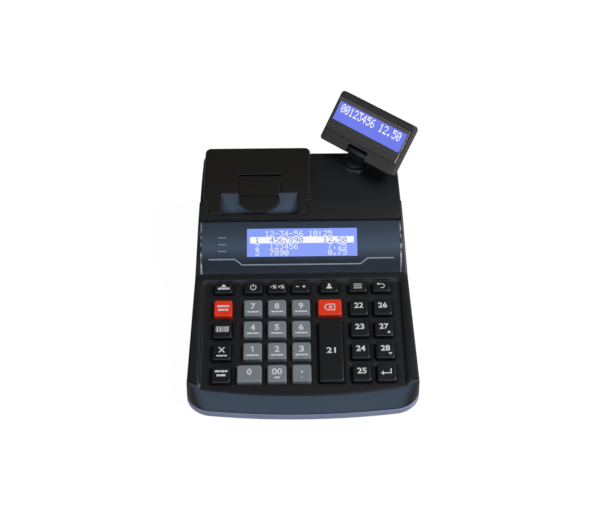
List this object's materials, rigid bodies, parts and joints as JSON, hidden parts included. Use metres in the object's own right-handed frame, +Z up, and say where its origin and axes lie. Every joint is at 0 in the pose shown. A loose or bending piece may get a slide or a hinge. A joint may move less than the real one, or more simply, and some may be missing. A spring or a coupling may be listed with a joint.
{
  "type": "cash register",
  "caption": "Compact desktop cash register with sloping keyboard, curved operator display, hinged receipt printer cover and swivelling customer display.",
  "frame": {"origin": "table level under the middle of the front edge", "axes": "+X to the operator's right, +Y to the back, +Z up"},
  "size_m": [0.1911, 0.266, 0.1113],
  "materials": {
    "case_top": "fine spark-eroded matt moulding",
    "case_bottom": "fine matt moulding",
    "cover_black": "fine matt moulding",
    "key_black": "satin moulded key with printed legend",
    "key_grey": "satin moulded key with printed legend",
    "key_red": "satin moulded key with printed legend",
    "smoked_lens": "smoked clear acrylic",
    "display_blue": "back-lit liquid crystal module",
    "board_green": "solder-masked circuit board",
    "silicone": "moulded silicone rubber",
    "frame_plastic": "glass-filled moulding",
    "steel": "bright drawn steel",
    "motor_can": "plated steel can",
    "brass": "cut brass",
    "acetal": "natural acetal",
    "platen_rubber": "ground rubber sleeve on a steel shaft",
    "paper": "thermal paper",
    "head_front": "fine matt moulding",
    "head_rear": "fine matt moulding",
    "foot_rubber": "moulded rubber"
  },
  "bodies": {
    "root": {"bottom_case": "case_bottom", "top_case": "case_top", "display_lens": "smoked_lens", "operator_lcd": "display_blue", "main_board": "board_green", "keypad_board": "board_green", "keypad_mat": "silicone", "printer_frame": "frame_plastic", "print_head": "steel", "stepper_motor": "motor_can", "tear_bar": "steel", "rubber_feet": "foot_rubber", "case_screws": "steel"},
    "key_feed": {"key_feed": "key_black"},
    "key_power": {"key_power": "key_black"},
    "key_percent": {"key_percent": "key_black"},
    "key_minus": {"key_minus": "key_black"},
    "key_clerk": {"key_clerk": "key_black"},
    "key_menu": {"key_menu": "key_black"},
    "key_return": {"key_return": "key_black"},
    "key_void": {"key_void": "key_red"},
    "key_7": {"key_7": "key_grey"},
    "key_8": {"key_8": "key_grey"},
    "key_9": {"key_9": "key_grey"},
    "key_clear": {"key_clear": "key_red"},
    "key_t2": {"key_t2": "key_black"},
    "key_t6": {"key_t6": "key_black"},
    "key_code": {"key_code": "key_black"},
    "key_4": {"key_4": "key_grey"},
    "key_5": {"key_5": "key_grey"},
    "key_6": {"key_6": "key_grey"},
    "key_t3": {"key_t3": "key_black"},
    "key_t7": {"key_t7": "key_black"},
    "key_times": {"key_times": "key_black"},
    "key_1": {"key_1": "key_grey"},
    "key_2": {"key_2": "key_grey"},
    "key_3": {"key_3": "key_grey"},
    "key_t4": {"key_t4": "key_black"},
    "key_t8": {"key_t8": "key_black"},
    "key_subtotal": {"key_subtotal": "key_black"},
    "key_0": {"key_0": "key_grey"},
    "key_00": {"key_00": "key_grey"},
    "key_point": {"key_point": "key_grey"},
    "key_t5": {"key_t5": "key_black"},
    "key_enter": {"key_enter": "key_black"},
    "key_t1": {"key_t1": "key_black"},
    "cover": {"printer_cover": "cover_black", "lever_pin": "steel"},
    "lever": {"release_lever": "cover_black"},
    "platen": {"platen_roller": "platen_rubber", "platen_gear": "acetal"},
    "idler": {"idler_gear": "acetal"},
    "pinion": {"motor_pinion": "brass"},
    "roll": {"paper_roll": "paper"},
    "neck": {"display_neck": "head_rear"},
    "head": {"customer_display_front": "head_front", "customer_display_rear": "head_rear", "customer_lens": "smoked_lens", "customer_lcd": "display_blue", "display_hinge_pin": "steel"}
  },
  "joints": [
    {"name": "cover_hinge", "type": "hinge", "parent": "root", "child": "cover", "pos_m": [-0.0344, 0.2286, 0.06298], "axis": [-1, 0, 0], "range_deg": [0, 95]},
    {"name": "lever_release", "type": "hinge", "parent": "cover", "child": "lever", "pos_m": [-0.0344, 0.19786, 0.06656], "axis": [-1, 0, 0], "range_deg": [0, 25], "stiffness_Nm_per_rad": 0.03, "springref_deg": -17.19},
    {"name": "platen_spin", "type": "hinge", "parent": "cover", "child": "platen", "pos_m": [-0.0344, 0.17196, 0.0465], "axis": [1, 0, 0], "continuous": true},
    {"name": "idler_spin", "type": "hinge", "parent": "root", "child": "idler", "pos_m": [-0.0344, 0.17649, 0.03095], "axis": [1, 0, 0], "continuous": true},
    {"name": "pinion_spin", "type": "hinge", "parent": "root", "child": "pinion", "pos_m": [-0.0344, 0.1624, 0.02795], "axis": [1, 0, 0], "continuous": true},
    {"name": "roll_spin", "type": "hinge", "parent": "root", "child": "roll", "pos_m": [-0.0344, 0.19636, 0.03219], "axis": [1, 0, 0], "continuous": true},
    {"name": "display_swivel", "type": "hinge", "parent": "root", "child": "neck", "pos_m": [0.048, 0.219, 0.0663], "axis": [0, 0, 1], "range_deg": [-162, 138]},
    {"name": "display_tilt", "type": "hinge", "parent": "neck", "child": "head", "pos_m": [0.05033, 0.21711, 0.0777], "axis": [0.7771, -0.6293, 0], "range_deg": [-25, 45]},
    {"name": "key_feed_press", "type": "slide", "parent": "root", "child": "key_feed", "axis": [0, 0.1392, -0.9903], "range_m": [0, 0.0018], "stiffness_N_per_m": 250, "springref_m": -0.002, "deforming": ["keypad_mat"]},
    {"name": "key_power_press", "type": "slide", "parent": "root", "child": "key_power", "axis": [0, 0.1392, -0.9903], "range_m": [0, 0.0018], "stiffness_N_per_m": 250, "springref_m": -0.002, "deforming": ["keypad_mat"]},
    {"name": "key_percent_press", "type": "slide", "parent": "root", "child": "key_percent", "axis": [0, 0.1392, -0.9903], "range_m": [0, 0.0018], "stiffness_N_per_m": 250, "springref_m": -0.002, "deforming": ["keypad_mat"]},
    {"name": "key_minus_press", "type": "slide", "parent": "root", "child": "key_minus", "axis": [0, 0.1392, -0.9903], "range_m": [0, 0.0018], "stiffness_N_per_m": 250, "springref_m": -0.002, "deforming": ["keypad_mat"]},
    {"name": "key_clerk_press", "type": "slide", "parent": "root", "child": "key_clerk", "axis": [0, 0.1392, -0.9903], "range_m": [0, 0.0018], "stiffness_N_per_m": 250, "springref_m": -0.002, "deforming": ["keypad_mat"]},
    {"name": "key_menu_press", "type": "slide", "parent": "root", "child": "key_menu", "axis": [0, 0.1392, -0.9903], "range_m": [0, 0.0018], "stiffness_N_per_m": 250, "springref_m": -0.002, "deforming": ["keypad_mat"]},
    {"name": "key_return_press", "type": "slide", "parent": "root", "child": "key_return", "axis": [0, 0.1392, -0.9903], "range_m": [0, 0.0018], "stiffness_N_per_m": 250, "springref_m": -0.002, "deforming": ["keypad_mat"]},
    {"name": "key_void_press", "type": "slide", "parent": "root", "child": "key_void", "axis": [0, 0.1392, -0.9903], "range_m": [0, 0.0018], "stiffness_N_per_m": 250, "springref_m": -0.002, "deforming": ["keypad_mat"]},
    {"name": "key_7_press", "type": "slide", "parent": "root", "child": "key_7", "axis": [0, 0.1392, -0.9903], "range_m": [0, 0.0018], "stiffness_N_per_m": 250, "springref_m": -0.002, "deforming": ["keypad_mat"]},
    {"name": "key_8_press", "type": "slide", "parent": "root", "child": "key_8", "axis": [0, 0.1392, -0.9903], "range_m": [0, 0.0018], "stiffness_N_per_m": 250, "springref_m": -0.002, "deforming": ["keypad_mat"]},
    {"name": "key_9_press", "type": "slide", "parent": "root", "child": "key_9", "axis": [0, 0.1392, -0.9903], "range_m": [0, 0.0018], "stiffness_N_per_m": 250, "springref_m": -0.002, "deforming": ["keypad_mat"]},
    {"name": "key_clear_press", "type": "slide", "parent": "root", "child": "key_clear", "axis": [0, 0.1392, -0.9903], "range_m": [0, 0.0018], "stiffness_N_per_m": 250, "springref_m": -0.002, "deforming": ["keypad_mat"]},
    {"name": "key_t2_press", "type": "slide", "parent": "root", "child": "key_t2", "axis": [0, 0.1392, -0.9903], "range_m": [0, 0.0018], "stiffness_N_per_m": 250, "springref_m": -0.002, "deforming": ["keypad_mat"]},
    {"name": "key_t6_press", "type": "slide", "parent": "root", "child": "key_t6", "axis": [0, 0.1392, -0.9903], "range_m": [0, 0.0018], "stiffness_N_per_m": 250, "springref_m": -0.002, "deforming": ["keypad_mat"]},
    {"name": "key_code_press", "type": "slide", "parent": "root", "child": "key_code", "axis": [0, 0.1392, -0.9903], "range_m": [0, 0.0018], "stiffness_N_per_m": 250, "springref_m": -0.002, "deforming": ["keypad_mat"]},
    {"name": "key_4_press", "type": "slide", "parent": "root", "child": "key_4", "axis": [0, 0.1392, -0.9903], "range_m": [0, 0.0018], "stiffness_N_per_m": 250, "springref_m": -0.002, "deforming": ["keypad_mat"]},
    {"name": "key_5_press", "type": "slide", "parent": "root", "child": "key_5", "axis": [0, 0.1392, -0.9903], "range_m": [0, 0.0018], "stiffness_N_per_m": 250, "springref_m": -0.002, "deforming": ["keypad_mat"]},
    {"name": "key_6_press", "type": "slide", "parent": "root", "child": "key_6", "axis": [0, 0.1392, -0.9903], "range_m": [0, 0.0018], "stiffness_N_per_m": 250, "springref_m": -0.002, "deforming": ["keypad_mat"]},
    {"name": "key_t3_press", "type": "slide", "parent": "root", "child": "key_t3", "axis": [0, 0.1392, -0.9903], "range_m": [0, 0.0018], "stiffness_N_per_m": 250, "springref_m": -0.002, "deforming": ["keypad_mat"]},
    {"name": "key_t7_press", "type": "slide", "parent": "root", "child": "key_t7", "axis": [0, 0.1392, -0.9903], "range_m": [0, 0.0018], "stiffness_N_per_m": 250, "springref_m": -0.002, "deforming": ["keypad_mat"]},
    {"name": "key_times_press", "type": "slide", "parent": "root", "child": "key_times", "axis": [0, 0.1392, -0.9903], "range_m": [0, 0.0018], "stiffness_N_per_m": 250, "springref_m": -0.002, "deforming": ["keypad_mat"]},
    {"name": "key_1_press", "type": "slide", "parent": "root", "child": "key_1", "axis": [0, 0.1392, -0.9903], "range_m": [0, 0.0018], "stiffness_N_per_m": 250, "springref_m": -0.002, "deforming": ["keypad_mat"]},
    {"name": "key_2_press", "type": "slide", "parent": "root", "child": "key_2", "axis": [0, 0.1392, -0.9903], "range_m": [0, 0.0018], "stiffness_N_per_m": 250, "springref_m": -0.002, "deforming": ["keypad_mat"]},
    {"name": "key_3_press", "type": "slide", "parent": "root", "child": "key_3", "axis": [0, 0.1392, -0.9903], "range_m": [0, 0.0018], "stiffness_N_per_m": 250, "springref_m": -0.002, "deforming": ["keypad_mat"]},
    {"name": "key_t4_press", "type": "slide", "parent": "root", "child": "key_t4", "axis": [0, 0.1392, -0.9903], "range_m": [0, 0.0018], "stiffness_N_per_m": 250, "springref_m": -0.002, "deforming": ["keypad_mat"]},
    {"name": "key_t8_press", "type": "slide", "parent": "root", "child": "key_t8", "axis": [0, 0.1392, -0.9903], "range_m": [0, 0.0018], "stiffness_N_per_m": 250, "springref_m": -0.002, "deforming": ["keypad_mat"]},
    {"name": "key_subtotal_press", "type": "slide", "parent": "root", "child": "key_subtotal", "axis": [0, 0.1392, -0.9903], "range_m": [0, 0.0018], "stiffness_N_per_m": 250, "springref_m": -0.002, "deforming": ["keypad_mat"]},
    {"name": "key_0_press", "type": "slide", "parent": "root", "child": "key_0", "axis": [0, 0.1392, -0.9903], "range_m": [0, 0.0018], "stiffness_N_per_m": 250, "springref_m": -0.002, "deforming": ["keypad_mat"]},
    {"name": "key_00_press", "type": "slide", "parent": "root", "child": "key_00", "axis": [0, 0.1392, -0.9903], "range_m": [0, 0.0018], "stiffness_N_per_m": 250, "springref_m": -0.002, "deforming": ["keypad_mat"]},
    {"name": "key_point_press", "type": "slide", "parent": "root", "child": "key_point", "axis": [0, 0.1392, -0.9903], "range_m": [0, 0.0018], "stiffness_N_per_m": 250, "springref_m": -0.002, "deforming": ["keypad_mat"]},
    {"name": "key_t5_press", "type": "slide", "parent": "root", "child": "key_t5", "axis": [0, 0.1392, -0.9903], "range_m": [0, 0.0018], "stiffness_N_per_m": 250, "springref_m": -0.002, "deforming": ["keypad_mat"]},
    {"name": "key_enter_press", "type": "slide", "parent": "root", "child": "key_enter", "axis": [0, 0.1392, -0.9903], "range_m": [0, 0.0018], "stiffness_N_per_m": 250, "springref_m": -0.002, "deforming": ["keypad_mat"]},
    {"name": "key_t1_press", "type": "slide", "parent": "root", "child": "key_t1", "axis": [0, 0.1392, -0.9903], "range_m": [0, 0.0018], "stiffness_N_per_m": 250, "springref_m": -0.002, "deforming": ["keypad_mat"]}
  ],
  "couplings": [
    {"joint": "idler_spin", "follows": "platen_spin", "ratio": -0.5},
    {"joint": "pinion_spin", "follows": "platen_spin", "ratio": 1.5}
  ]
}
